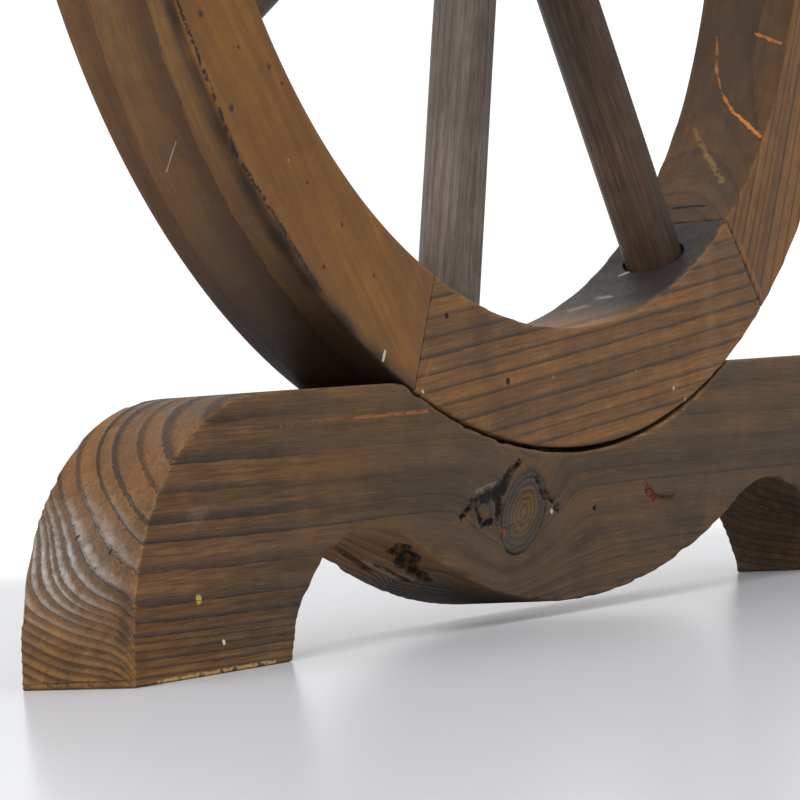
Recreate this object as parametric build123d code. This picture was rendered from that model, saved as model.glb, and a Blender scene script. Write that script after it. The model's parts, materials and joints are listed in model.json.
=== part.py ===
from build123d import *
import math
import os

# A wooden wheel that turns on a short hollow axle and sits in a one-piece cradle foot.
# Millimetres. X runs along the foot, +Y is the back, +Z is up.
# The origin is on the floor, midway between the two ends of the foot and in its middle plane.

# ---- Cradle foot: one sawn and planed plank on edge ----
foot_length = 644.0
foot_thickness = 50.0
foot_height = 100.0
end_corner_radius = 91.0
pad_length = 98.0
arch_height = 45.5
arch_radius = 61.0
belly_clearance = 5.4
belly_shift = -12.0
saddle_floor_height = 66.2
horn_rounding = 4.0
foot_arris = 1.2

# ---- Rim: felloes sawn from board and dowelled end to end ----
wheel_radius = 300.0
rim_depth = 50.0
rim_width = 50.0
rim_arris = 1.5
felloe_count = 6
bottom_felloe_angle = -85.0
felloe_dowel_diameter = 10.0
felloe_dowel_length = 48.0
felloe_dowel_chamfer = 1.0
felloe_dowel_spacing = 22.0
felloe_dowel_share = 0.44

# ---- Spokes: plain dowels between the hub and the rim ----
spoke_count = 8
lowest_spoke_angle = -103.7
second_spoke_lag = 3.0  # degrees by which the second spoke was bored nearer the lowest one
spoke_diameter = 26.0
spoke_end_chamfer = 2.0
spoke_rim_depth = 25.0
spoke_hub_depth = 26.0

# ---- Hub: a turned drum with a flanged bush pressed into each end ----
hub_diameter = 140.0
hub_length = 92.0
hub_drum_width = 56.0
hub_shoulder_step = 7.0
hub_nose_diameter = 108.0
hub_chamfer = 2.5
bush_diameter = 34.0
bush_length = 26.0
bush_flange_diameter = 52.0
bush_flange_thickness = 4.0

# ---- Axle: a steel tube held by a washer and a collar at each end ----
axle_diameter = 24.0
axle_bore_diameter = 16.0
axle_overhang = 3.0
axle_chamfer = 1.0
washer_diameter = 44.0
washer_thickness = 2.0
collar_diameter = 40.0
collar_width = 12.0
set_screw_diameter = 6.0
set_screw_length = 7.0
hex_socket_width = 3.0
hex_socket_depth = 3.0

# ---- Clearances, on the radius or along the axis ----
saddle_gap_bottom = 1.8
saddle_gap_horn = 0.4
spoke_rim_slack = 1.2
spoke_hub_slack = 0.1
dowel_slack = 0.1
dowel_end_slack = 1.0
running_clearance = 0.05
washer_slack = 0.3
axial_play = 0.4
collar_slack = 0.05
set_screw_slack = 0.05

# ---- Places worked out from the sizes above ----
rim_inner_radius = wheel_radius - rim_depth
wheel_centre_height = saddle_floor_height + saddle_gap_bottom + wheel_radius
felloe_sweep = 360.0 / felloe_count
spoke_pitch = 360.0 / spoke_count
spoke_outer_end = rim_inner_radius + spoke_rim_depth
spoke_inner_end = hub_diameter / 2 - spoke_hub_depth
felloe_dowel_radius = spoke_outer_end + felloe_dowel_share * (wheel_radius - spoke_outer_end)
washer_start = hub_length / 2 + bush_flange_thickness + axial_play
collar_start = washer_start + washer_thickness
axle_length = 2 * (collar_start + collar_width + axle_overhang)
collar_middle = collar_start + collar_width / 2
tool_margin = 5.0


def at_wheel(shape):
    """Lifts a shape drawn round the origin to the wheel's centre."""
    return Pos(0, 0, wheel_centre_height) * shape


def turned(shape, angle):
    """Turns a shape about the wheel's axis, from +X towards +Z."""
    return shape.rotate(Axis.Y, -angle)


def save(node, solids):
    """Writes one node, as one solid or as a group of separate ones."""
    shape = solids[0] if len(solids) == 1 else Compound(children=solids)
    export_step(shape, os.path.join("parts", node + ".step"))


def saddle_radius():
    """The saddle is cut a little tighter than the wheel, so that its horns stand nearest to it."""
    horn_reach = wheel_radius + saddle_gap_horn
    drop = wheel_centre_height - foot_height
    half_chord = math.sqrt(horn_reach**2 - drop**2)
    depth = foot_height - saddle_floor_height
    return (half_chord**2 + depth**2) / (2 * depth)


def belly_radius(arch_x):
    """The belly's arc touches the floor side of the arch tangentially and is level at its lowest line."""
    rise = belly_clearance - (arch_height - arch_radius)
    run = abs(arch_x - belly_shift)
    return (run**2 + rise**2 - arch_radius**2) / (2 * (arch_radius - rise))


def belly_meets_arch(arch_x):
    """The point where the belly's arc runs into the arch's."""
    radius = belly_radius(arch_x)
    centre_z = belly_clearance + radius
    arch_z = arch_height - arch_radius
    share = radius / (radius + arch_radius)
    return (
        belly_shift + (arch_x - belly_shift) * share,
        centre_z + (arch_z - centre_z) * share,
    )


def cradle_foot():
    half = foot_length / 2
    arch_foot = math.sqrt(arch_radius**2 - (arch_height - arch_radius) ** 2)
    arch_x = half - pad_length - arch_foot
    top_corner = half - end_corner_radius
    side_start = foot_height - end_corner_radius
    right_joint = belly_meets_arch(arch_x)
    left_joint = belly_meets_arch(-arch_x)
    lowest = (belly_shift, belly_clearance)
    with BuildPart() as foot:
        with BuildSketch(Plane.XZ):
            with BuildLine():
                RadiusArc(lowest, right_joint, -belly_radius(arch_x))
                RadiusArc(right_joint, (half - pad_length, 0), arch_radius)
                Line((half - pad_length, 0), (half, 0))
                Line((half, 0), (half, side_start))
                RadiusArc((half, side_start), (top_corner, foot_height), -end_corner_radius)
                Line((top_corner, foot_height), (-top_corner, foot_height))
                RadiusArc((-top_corner, foot_height), (-half, side_start), -end_corner_radius)
                Line((-half, side_start), (-half, 0))
                Line((-half, 0), (-half + pad_length, 0))
                RadiusArc((-half + pad_length, 0), left_joint, arch_radius)
                RadiusArc(left_joint, lowest, -belly_radius(-arch_x))
            make_face()
        extrude(amount=foot_thickness / 2, both=True)
        with Locations((0, 0, saddle_floor_height + saddle_radius())):
            Cylinder(
                saddle_radius(),
                foot_thickness + 2 * tool_margin,
                rotation=(90, 0, 0),
                mode=Mode.SUBTRACT,
            )
        top = foot.faces().filter_by(Axis.Z).sort_by(Axis.Z)[-2:]
        horns = [face.edges().filter_by(Axis.Y).sort_by(lambda e: abs(e.center().X))[0] for face in top]
        fillet(horns, horn_rounding)
        sides = foot.faces().filter_by(Axis.Y)
        chamfer(sides.edges(), foot_arris)
    return foot.part


def spoke_angles():
    angles = [lowest_spoke_angle + i * spoke_pitch for i in range(spoke_count)]
    angles[1] -= second_spoke_lag
    return angles


def felloe_angles():
    return [bottom_felloe_angle + i * felloe_sweep for i in range(felloe_count)]


def spoke_tool(inner, outer, slack):
    """A round bar along +X between two radii, for a spoke or for its hole."""
    bar = Cylinder(spoke_diameter / 2 + slack, outer - inner, rotation=(0, 90, 0))
    return Pos((inner + outer) / 2, 0, 0) * bar


def spoke():
    bar = spoke_tool(spoke_inner_end, spoke_outer_end, 0)
    ends = bar.edges().filter_by(GeomType.CIRCLE)
    return chamfer(ends, spoke_end_chamfer)


def dowels(diameter_slack, length_slack):
    """The pair of loose dowels across one felloe joint, or their holes."""
    pair = []
    for side in (-1, 1):
        radius = felloe_dowel_diameter / 2 + diameter_slack
        peg = Cylinder(radius, felloe_dowel_length + 2 * length_slack)
        if not diameter_slack:
            peg = chamfer(peg.edges().filter_by(GeomType.CIRCLE), felloe_dowel_chamfer)
        pair.append(Pos(felloe_dowel_radius, side * felloe_dowel_spacing / 2, 0) * peg)
    return pair


def felloe(middle_angle):
    middle = (rim_inner_radius + wheel_radius) / 2
    blank = Rectangle(rim_depth, rim_width)
    section = Pos(middle, 0) * chamfer(blank.vertices(), rim_arris)
    block = revolve(section, Axis.Y, felloe_sweep)
    block = turned(block, middle_angle + felloe_sweep / 2)
    for angle in spoke_angles():
        hole = spoke_tool(rim_inner_radius - tool_margin, spoke_outer_end, spoke_rim_slack)
        block -= turned(hole, angle)
    for end in (-1, 1):
        for hole in dowels(dowel_slack, dowel_end_slack):
            block -= turned(hole, middle_angle + end * felloe_sweep / 2)
    return block


def hub():
    half = hub_length / 2
    drum = hub_drum_width / 2
    radius = hub_diameter / 2
    shoulder = radius - hub_shoulder_step
    nose = hub_nose_diameter / 2
    bore = bush_diameter / 2
    with BuildPart() as turning:
        with BuildSketch():
            with BuildLine():
                Polyline(
                    (bore, 0),
                    (bore, half),
                    (nose - hub_chamfer, half),
                    (nose, half - hub_chamfer),
                )
                RadiusArc((nose, half - hub_chamfer), (shoulder, drum), 2 * hub_length / 3)
                Polyline(
                    (shoulder, drum),
                    (radius - hub_chamfer, drum),
                    (radius, drum - hub_chamfer),
                    (radius, 0),
                    (bore, 0),
                )
            make_face()
            mirror(about=Plane.XZ)
        revolve(axis=Axis.Y)
    body = turning.part
    for angle in spoke_angles():
        hole = spoke_tool(spoke_inner_end, radius + tool_margin, spoke_hub_slack)
        body -= turned(hole, angle)
    return body


def ring(outer, inner, start, width):
    """A plain ring about the wheel's axis, from start outwards along +Y."""
    blank = Cylinder(outer / 2, width) - Cylinder(inner / 2, width + 2 * tool_margin)
    return Pos(0, start + width / 2, 0) * (Rot(90, 0, 0) * blank)


def bush():
    face = hub_length / 2
    inner = axle_diameter + 2 * running_clearance
    sleeve = ring(bush_diameter, inner, face - bush_length, bush_length)
    return sleeve + ring(bush_flange_diameter, inner, face, bush_flange_thickness)


def washer():
    return ring(washer_diameter, axle_diameter + 2 * washer_slack, washer_start, washer_thickness)


def screw_place(shape):
    """Stands a screw drawn from the origin along +Z on the axle tube's wall, under the collar."""
    return Pos(0, collar_middle, axle_diameter / 2) * shape


def collar():
    blank = ring(collar_diameter, axle_diameter + 2 * collar_slack, collar_start, collar_width)
    hole = Cylinder(
        set_screw_diameter / 2 + set_screw_slack,
        collar_diameter,
        align=(Align.CENTER, Align.CENTER, Align.MIN),
    )
    return blank - screw_place(hole)


def set_screw():
    base = (Align.CENTER, Align.CENTER, Align.MIN)
    body = Cylinder(set_screw_diameter / 2, set_screw_length, align=base)
    hexagon = RegularPolygon(hex_socket_width / 2, 6, major_radius=False)
    socket = extrude(Pos(0, 0, set_screw_length - hex_socket_depth) * hexagon, hex_socket_depth)
    return screw_place(body - socket)


def axle_tube():
    outer = Cylinder(axle_diameter / 2, axle_length)
    outer = chamfer(outer.edges().filter_by(GeomType.CIRCLE), axle_chamfer)
    bore = Cylinder(axle_bore_diameter / 2, axle_length + 2 * tool_margin)
    return Rot(90, 0, 0) * (outer - bore)


def both_ends(shape):
    """The same piece at the front and at the back of the hub."""
    return {"front": shape.rotate(Axis.Z, 180), "back": shape}


def build():
    os.makedirs("parts", exist_ok=True)
    save("cradle_foot", [cradle_foot()])
    for i, angle in enumerate(felloe_angles(), 1):
        save(f"felloe_{i}", [at_wheel(felloe(angle))])
    for i, angle in enumerate(spoke_angles(), 1):
        save(f"spoke_{i}", [at_wheel(turned(spoke(), angle))])
    joints = [angle + felloe_sweep / 2 for angle in felloe_angles()]
    save("felloe_dowels", [at_wheel(turned(peg, angle)) for angle in joints for peg in dowels(0, 0)])
    save("hub", [at_wheel(hub())])
    save("axle_tube", [at_wheel(axle_tube())])
    for end, piece in both_ends(bush()).items():
        save(f"bush_{end}", [at_wheel(piece)])
    for end, piece in both_ends(washer()).items():
        save(f"washer_{end}", [at_wheel(piece)])
    for end, piece in both_ends(collar()).items():
        save(f"collar_{end}", [at_wheel(piece)])
    save("set_screws", [at_wheel(piece) for piece in both_ends(set_screw()).values()])


build()
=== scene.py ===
# %% [markdown]
# # A wooden wheel in its cradle foot
# The real object is a small cart-style wheel of stained and wire-brushed softwood. Six felloes are
# sawn from board and dowelled end to end, eight plain dowels serve as spokes, and the wheel sits in a
# saddle sawn into one plank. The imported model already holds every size. This lesson gives each piece
# of timber the surface that brushing and staining leave on it.

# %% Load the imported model
import bmesh
import bpy
import json
import math
import numpy as np
from mathutils import Matrix, Vector
from mathutils.bvhtree import BVHTree
from mathutils.kdtree import KDTree


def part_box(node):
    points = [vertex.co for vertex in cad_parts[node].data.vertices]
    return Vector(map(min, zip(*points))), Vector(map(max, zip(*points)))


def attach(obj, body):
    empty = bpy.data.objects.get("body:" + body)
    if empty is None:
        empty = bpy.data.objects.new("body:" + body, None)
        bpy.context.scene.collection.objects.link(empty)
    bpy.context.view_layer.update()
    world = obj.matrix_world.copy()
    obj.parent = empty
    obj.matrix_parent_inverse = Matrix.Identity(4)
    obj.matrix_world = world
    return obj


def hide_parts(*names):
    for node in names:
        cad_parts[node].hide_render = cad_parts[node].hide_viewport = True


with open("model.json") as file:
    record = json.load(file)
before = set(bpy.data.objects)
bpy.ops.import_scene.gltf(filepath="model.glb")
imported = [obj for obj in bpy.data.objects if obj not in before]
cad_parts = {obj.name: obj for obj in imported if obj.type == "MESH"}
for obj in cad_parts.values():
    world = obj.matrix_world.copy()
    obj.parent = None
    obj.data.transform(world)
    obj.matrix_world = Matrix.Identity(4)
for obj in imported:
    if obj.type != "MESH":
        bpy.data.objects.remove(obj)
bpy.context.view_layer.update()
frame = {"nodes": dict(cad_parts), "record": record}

MM = 0.001

# %% [markdown]
# ## Sizes read from the frame
# Nothing is measured twice. The foot's box gives the plank, the axle bore's mount gives the wheel's
# centre, and the bottom felloe gives the rim's width. Only what a box can't say is named here: how
# deep the rim is, and how the felloes and spokes are spread round the wheel.

# %% Sizes and places
FOOT_LOW, FOOT_HIGH = (np.array(corner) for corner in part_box("cradle_foot"))
MOUNTS = {mount["name"]: mount for mount in frame["record"]["mounts"]}
WHEEL_CENTRE = np.array(MOUNTS["axle_bore"]["pos_m"], dtype=float)
RIM_LOW, RIM_HIGH = (np.array(corner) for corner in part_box("felloe_1"))
HUB_LOW, HUB_HIGH = (np.array(corner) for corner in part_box("hub"))
WHEEL_RADIUS = WHEEL_CENTRE[2] - RIM_LOW[2]
RIM_DEPTH = 50 * MM
RIM_INNER = WHEEL_RADIUS - RIM_DEPTH
RIM_ARRIS = 1.5 * MM
FOOT_ARRIS = 1.2 * MM
FELLOE_COUNT = 6
FELLOE_SWEEP = 360 / FELLOE_COUNT
BOTTOM_FELLOE_ANGLE = -85
SPOKE_COUNT = 8
SPOKE_PITCH = 360 / SPOKE_COUNT
LOWEST_SPOKE_ANGLE = -103.7
SECOND_SPOKE_LAG = 3.0
SPOKE_RADIUS = 13 * MM
SPOKE_END_CHAMFER = 2 * MM
SPOKE_ENDS = (44 * MM, RIM_INNER + 25 * MM)
SPOKE_HOLE_SLACK = 1.2 * MM
HUB_HOLE_SLACK = 0.1 * MM


def spoke_angle(number):
    """A spoke's angle in degrees. The second was bored a little nearer the lowest one."""
    lag = SECOND_SPOKE_LAG if number == 2 else 0
    return LOWEST_SPOKE_ANGLE + (number - 1) * SPOKE_PITCH - lag


print("wheel radius", round(WHEEL_RADIUS, 4), "centre height", round(WHEEL_CENTRE[2], 4))


# %% [markdown]
# ## Colour and node helpers
# Colours are written as a maker reads them off a chart, in sRGB hex, and one function turns them into
# the linear values that the shaders work in. One small function adds every node, with its settings and
# what feeds it. The others empty a node tree, draw a figure and lay coats of colour.

# %% Helpers for colours and nodes
def linear(code):
    """A colour chart's hex code as linear red, green, blue and alpha."""
    parts = [int(code[i : i + 2], 16) / 255 for i in (1, 3, 5)]
    return tuple(c / 12.92 if c <= 0.04045 else ((c + 0.055) / 1.055) ** 2.4 for c in parts) + (1.0,)


def put(tree, kind, *feeds, gives=0, **settings):
    """Adds a node and returns the output it gives.

    Feeds fill its inputs in order, or one dict fills them by name or number. Each is a value, a hex
    colour or another node's output.
    """
    made = tree.nodes.new("ShaderNode" + kind)
    for name, value in settings.items():
        setattr(made, name, value)
    by_name = feeds[0] if feeds and isinstance(feeds[0], dict) else dict(enumerate(feeds))
    for name, value in by_name.items():
        if isinstance(value, bpy.types.NodeSocket):
            tree.links.new(value, made.inputs[name])
        else:
            made.inputs[name].default_value = linear(value) if isinstance(value, str) else value
    return made.outputs[gives] if made.outputs else None


# Map Range nodes take: what changes, from, to, and the values at the start and the end of that.
SMOOTH = {"interpolation_type": "SMOOTHSTEP"}


def lay(tree, colour, *coats):
    """Lays coats over a colour, each given as the share of it that shows and its own colour."""
    for share, coat in coats:
        colour = put(tree, "Mix", {0: share, 6: colour, 7: coat}, data_type="RGBA", gives=2)
    return colour


def figured(tree, place, along_mm, across_mm, detail=3, rough=0.55):
    """A noise whose grains are this long and this wide, in millimetres of real timber."""
    scale = (1 / (along_mm * MM), 1 / (across_mm * MM), 1 / (across_mm * MM))
    at = put(tree, "Mapping", {"Vector": place, "Scale": scale})
    return put(tree, "TexNoise", {"Vector": at, "Scale": 1.0, "Detail": detail, "Roughness": rough})


def blank(owner):
    """The emptied node tree of a material or of the surround."""
    owner.use_nodes = True
    owner.node_tree.nodes.clear()
    return owner.node_tree


print("linen white in linear light", [round(c, 3) for c in linear("#faf0e6")])


# %% [markdown]
# ## How a ring is laid down
# A softwood's growth ring starts as pale, soft earlywood and darkens to a hard, narrow line of
# latewood. Wire brushing scours the soft part away, so the dark lines stand proud. Every surface below
# works from one number, the count of rings outwards from the pith, so that the ridges in the mesh and
# the lines in the colour can't drift apart.

# %% Wandering values, ridges and good and lean years
def sway(points, wavelength, seed, waves=8):
    """A smooth value of about -1 to 1 that wanders through space, from a few crossing waves."""
    draw = np.random.default_rng(seed)
    total = np.zeros(len(points))
    for _ in range(waves):
        heading = draw.normal(size=3)
        heading /= np.linalg.norm(heading)
        length = wavelength * draw.uniform(0.6, 1.7)
        total += np.sin(points @ heading * (2 * math.pi / length) + draw.uniform(0, 2 * math.pi))
    return total / math.sqrt(waves)


def ease(low, high, value):
    """0 below low, 1 above high, and a smooth rise between them."""
    share = np.clip((value - low) / (high - low), 0, 1)
    return share * share * (3 - 2 * share)


def ridge(count):
    """The brushed ridge of each ring, soft enough for a mesh of 1 to 2 mm."""
    part = count % 1
    return ease(0.35, 0.85, part) * (1 - ease(0.85, 1.0, part))


def years(ring_width, seed, reach=0.6):
    """How far each ring's outer edge lies from the pith, with good and lean years."""
    draw = np.random.default_rng(seed)
    return np.cumsum(ring_width * draw.uniform(0.55, 1.45, int(reach / ring_width)))


def rings_within(edges, reach):
    """How many of these ring edges lie within reach, with the part of the next one."""
    first, last = edges[1] - edges[0], edges[-1] - edges[-2]
    count = np.interp(reach, edges, np.arange(len(edges)))
    return count - np.maximum(edges[0] - reach, 0) / first + np.maximum(reach - edges[-1], 0) / last


print("edges of the first rings, in mm", (years(5 * MM, 1)[:5] / MM).round(1))


# %% [markdown]
# ## A log for every piece
# A board's figure is only the log it was sawn from, cut by the board's faces. Each piece therefore has
# a log: the direction of its grain, a point on its pith, its ring width and its knots. A knot is the
# foot of a branch, a round bar of its own rings that pushes the trunk's rings aside.

# %% Reading a point's place in its log
def unit(vector):
    """The same direction with a length of 1."""
    vector = np.array(vector, dtype=float)
    return vector / np.linalg.norm(vector)


def knot_distance(points, knot):
    """Each point's distance from the branch's own pith. It is far from a branch that has ended."""
    along = unit(knot["heading"])
    offset = points - np.array(knot["at"])
    run = offset @ along
    across = offset - np.outer(run, along)
    short = np.maximum(knot.get("from", -0.02) - run, 0) + np.maximum(run - knot.get("to", 0.2), 0)
    return np.hypot(np.linalg.norm(across, axis=1), short * 3)


def in_log(points, log):
    """Where each point lies in its log: (along the grain, across it, up it), and its count of rings."""
    grain = unit(log["grain"])
    side = np.array(log.get("side", (0, 1, 0)), dtype=float)
    side = unit(side - grain * (side @ grain))
    up = np.cross(grain, side)
    up *= 1 if up[2] >= 0 else -1
    offset = points - np.array(log["pith"])
    along, across, height = offset @ grain, offset @ side, offset @ up
    if "settle" in log:
        height = height + log["settle"](points)
    calm = np.column_stack([along * 0.2, across, height])
    bend = log["wander"] * sway(calm, log.get("wander_length", 0.09), log["seed"])
    for knot in log.get("knots", ()):
        near = np.exp(-np.maximum(knot_distance(points, knot) - knot["radius"], 0) / knot["spread"])
        height = height + knot["swell"] * near
    reach = np.hypot(across, height) + bend
    count = rings_within(log["edges"], reach)
    return np.column_stack([along, across, height]), count


NO_KNOT = 9.0


def knot_field(points, log):
    """1 on a knot's edge, less inside it, and more outside, up to 9 where no knot is near."""
    field = np.full(len(points), NO_KNOT)
    for knot in log.get("knots", ()):
        field = np.minimum(field, knot_distance(points, knot) / knot["radius"])
    return field


# %% [markdown]
# ## Meshing a sawn piece
# The foot and the felloes are the same kind of solid: a board between an upper and a lower edge line,
# with its four long arrises eased. A grid that follows those lines keeps the arrises clean, where a
# remesh would fray them. The edge lines are spaced by length, so that the quads stay nearly square.

# %% Lines, sections and boards
def spaced(line, shares):
    """Points along a line at these shares of its length."""
    line = np.asarray(line, dtype=float)
    run = np.concatenate([[0], np.cumsum(np.linalg.norm(np.diff(line, axis=0), axis=1))])
    at = np.asarray(shares) * run[-1]
    return np.column_stack([np.interp(at, run, line[:, i]) for i in range(line.shape[1])])


def bar_faces(rows, columns):
    """The faces of a bar whose sections are the rows of a grid of points, with a cap at each end."""
    index = np.arange(rows * columns).reshape(rows, columns)
    a, b = index[:-1], index[1:]
    sides = np.stack([a, np.roll(a, -1, 1), np.roll(b, -1, 1), b], axis=-1)
    return [*sides.reshape(-1, 4).tolist(), index[0, ::-1].tolist(), index[-1].tolist()]


def section_loop(face_rows, edge_rows, arris, thickness):
    """One section's loop, as (share of the way up, metres above that share, metres back)."""
    half = thickness / 2
    turn = np.linspace(0, math.pi / 2, 4)[1:]
    climb = np.linspace(0, 1, face_rows + 1)
    back = np.linspace(-half + arris, half - arris, edge_rows + 1)
    loop = [(s, arris * (1 - 2 * s), -half) for s in climb]
    loop += [(1, arris * (math.sin(t) - 1), arris * (1 - math.cos(t)) - half) for t in turn]
    loop += [(1, 0, y) for y in back[1:]]
    loop += [(1, arris * (math.cos(t) - 1), half - arris * (1 - math.sin(t))) for t in turn]
    loop += [(s, arris * (1 - 2 * s), half) for s in climb[::-1][1:]]
    loop += [(0, arris * (1 - math.sin(t)), half - arris * (1 - math.cos(t))) for t in turn]
    loop += [(0, 0, y) for y in back[::-1][1:]]
    loop += [(0, arris * (1 - math.cos(t)), arris * (1 - math.sin(t)) - half) for t in turn[:-1]]
    return np.array(loop)


def board(upper, lower, loop):
    """Points and faces of a board between two edge lines in the XZ plane, closed at both ends."""
    span = upper - lower
    rising = span / np.linalg.norm(span, axis=1)[:, None]
    flat = lower[:, None] + span[:, None] * loop[None, :, :1] + rising[:, None] * loop[None, :, 1:2]
    depth = np.broadcast_to(loop[None, :, 2], flat.shape[:2])
    points = np.stack([flat[..., 0], depth, flat[..., 1]], axis=-1)
    return points.reshape(-1, 3), bar_faces(*points.shape[:2])


def turning(profile, centre, steps):
    """Points and faces of a solid turned about Y from a closed (radius, y) profile."""
    turn = np.linspace(0, 2 * math.pi, steps, endpoint=False)
    radius, along = np.asarray(profile, dtype=float).T
    x, z = np.outer(np.cos(turn), radius), np.outer(np.sin(turn), radius)
    grid = np.stack([x, np.broadcast_to(along, x.shape), z], axis=-1)
    index = np.arange(x.size).reshape(x.shape)
    right, down = np.roll(index, -1, 1), np.roll(index, -1, 0)
    faces = np.stack([index, right, np.roll(right, -1, 0), down], axis=-1).reshape(-1, 4).tolist()
    return grid.reshape(-1, 3) + centre, faces


# %% [markdown]
# ## Solids, holes and relief
# Relief is always cut inwards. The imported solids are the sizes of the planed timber, and brushing only
# takes wood away, so nothing grows into its neighbour.

# %% Making, cutting and carving solids
def show(name, data):
    """A new object in the scene, for a mesh, a light or a camera."""
    shown = bpy.data.objects.new(name, data)
    bpy.context.scene.collection.objects.link(shown)
    return shown


def solid(name, points, faces):
    """A closed mesh object with smooth faces that point outwards."""
    mesh = bpy.data.meshes.new(name)
    mesh.from_pydata(points.tolist(), [], faces)
    shape = bmesh.new()
    shape.from_mesh(mesh)
    bmesh.ops.remove_doubles(shape, verts=shape.verts, dist=1e-6)
    bmesh.ops.recalc_face_normals(shape, faces=shape.faces)
    shape.to_mesh(mesh)
    shape.free()
    mesh.shade_smooth()
    return show(name, mesh)


def points_of(mesh):
    """The mesh's points as rows of x, y, z."""
    flat = np.empty(len(mesh.vertices) * 3)
    mesh.vertices.foreach_get("co", flat)
    return flat.reshape(-1, 3)


def normals_of(mesh):
    """The mesh's point normals as rows of x, y, z."""
    flat = np.empty(len(mesh.vertices) * 3, dtype=np.float32)
    mesh.vertex_normals.foreach_get("vector", flat)
    return flat.reshape(-1, 3).astype(float)


def sink(piece, depth):
    """Moves each point straight into the piece by its own depth."""
    mesh = piece.data
    moved = points_of(mesh) - normals_of(mesh) * depth[:, None]
    mesh.vertices.foreach_set("co", moved.ravel())
    mesh.update()


BORE_SIDES = 72


def bore(piece, start, end, radius):
    """Cuts a round hole between two points."""
    start, end = Vector(start), Vector(end)
    bit_mesh = bpy.data.meshes.new("bit")
    shape = bmesh.new()
    length = (end - start).length
    round_bar = {"radius1": radius, "radius2": radius, "depth": length}
    bmesh.ops.create_cone(shape, cap_ends=True, segments=BORE_SIDES, **round_bar)
    shape.to_mesh(bit_mesh)
    shape.free()
    bit = show("bit", bit_mesh)
    aim = (end - start).to_track_quat("Z", "Y").to_matrix().to_4x4()
    bit.matrix_world = Matrix.Translation((start + end) / 2) @ aim
    cut = piece.modifiers.new("bore", "BOOLEAN")
    cut.operation = "DIFFERENCE"
    cut.solver = "EXACT"
    cut.object = bit
    bpy.context.view_layer.update()
    cut_piece = piece.evaluated_get(bpy.context.evaluated_depsgraph_get())
    bored = bpy.data.meshes.new_from_object(cut_piece)
    piece.modifiers.clear()
    piece.data = bored
    bpy.data.objects.remove(bit)


def near_lines(points, line_points, reach):
    """1 on the lines and 0 further from them than reach."""
    tree = KDTree(len(line_points))
    for i, point in enumerate(line_points):
        tree.insert(point, i)
    tree.balance()
    return 1 - ease(0, reach, np.array([tree.find(point)[2] for point in points]))


def within(points, centre, size):
    """1 at the centre of a soft blob and 0 beyond its size, which has one value for each axis."""
    offset = (points - np.array(centre)) / np.array(size)
    return 1 - ease(0, 1, np.linalg.norm(offset, axis=1))


# %% [markdown]
# ## Telling the shader about the log
# The colour nodes need the same ring count as the mesh. It is smooth, so a value at each point is
# enough, and the sharp dark line is drawn from it at full sharpness in the material. The other fields
# say where the timber is worn, warm, grey or nearly black, because stain, light and hands don't reach
# every part alike. The nearly black is mostly painted shade, and the bloom is partly a painted sheen.

# %% Writing the log's values on a mesh
FIELDS = ("ring", "knot", "end_grain", "worn", "warm", "grey", "dark", "calm", "bloom_and_sheen", "joint")
NO_JOINT = 1.0


def write_value(mesh, name, values):
    """Stores one number, or three, for each point."""
    kind = "FLOAT" if values.ndim == 1 else "FLOAT_VECTOR"
    layer = mesh.attributes.new(name, kind, "POINT")
    layer.data.foreach_set("value" if kind == "FLOAT" else "vector", values.astype(np.float32).ravel())


def describe(piece, log, cut_place, **fields):
    """Stores a piece's rings, log place, saw-cut place and fields.

    A field that isn't given is 0, apart from the distance to a joint, which is a metre.
    """
    mesh = piece.data
    points = points_of(mesh)
    place, count = in_log(points, log)
    fields = {"joint": np.full(len(points), NO_JOINT), **fields}
    fields["ring"] = count
    fields["knot"] = knot_field(points, log)
    fields["end_grain"] = np.abs(normals_of(mesh) @ unit(log["grain"]))
    for name in FIELDS:
        write_value(mesh, name, fields.get(name, np.zeros(len(points))))
    write_value(mesh, "log_place", place)
    write_value(mesh, "cut_place", cut_place)


def settle_in(piece, node, body, material):
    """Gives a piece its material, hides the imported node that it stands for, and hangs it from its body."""
    piece.data.materials.clear()
    piece.data.materials.append(material)
    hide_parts(node)
    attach(piece, body)
    print(piece.name, "faces", len(piece.data.polygons))


# %% [markdown]
# ## Brushed and stained softwood
# The timber is fir or spruce, sawn, wire-brushed and stained dark. The stain soaks into the soft
# earlywood as brown, and lies on the hard latewood as a blue-grey film. What the eye reads is the
# ring lines first, then hair-fine fibres along the grain, then cloudy patches of thicker and thinner
# stain, then the faint cross lines of the saw, and last the rubbed arrises. Hairs are drawn 0.5 mm
# wide, coarser than real fibres, so that they still show at this distance.

# %% The fibres, clouds and grit of the timber
# Each has the place it is drawn in, then its length and width in millimetres, its detail and roughness.
FIGURES = {
    "hair": ("log_place", 14, 0.5, 3, 0.6),
    "fibre": ("log_place", 40, 1.4, 3, 0.6),
    "streak": ("log_place", 85, 4.5, 3, 0.6),
    "cloud": ("log_place", 110, 32, 3, 0.5),
    "grit": ("surface", 1.3, 1.3, 2, 0.6),
    "crumb": ("surface", 4.5, 4.5, 3, 0.6),
    "mottle": ("surface", 17, 13, 4, 0.6),
    "saw": ("cut_place", 0.9, 45, 2, 0.5),
}


def timber_of(tree):
    """What the mesh says about the timber at each point, and the figures drawn on it, by name."""
    timber = {key: put(tree, "Attribute", attribute_name=key, gives="Fac") for key in FIELDS}
    for key in ("log_place", "cut_place"):
        timber[key] = put(tree, "Attribute", attribute_name=key, gives="Vector")
    timber["surface"] = put(tree, "TexCoord", gives="Object")
    for name, (place, *sizes) in FIGURES.items():
        timber[name] = figured(tree, timber[place], *sizes)
    return timber


print("figures", sorted(FIGURES))


# %% Ring lines and stain
# How far through its ring a dark line is full, begins to end and has ended.
LINE_FULL, LINE_ENDING, LINE_ENDED = 0.9, 0.955, 0.995


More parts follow.
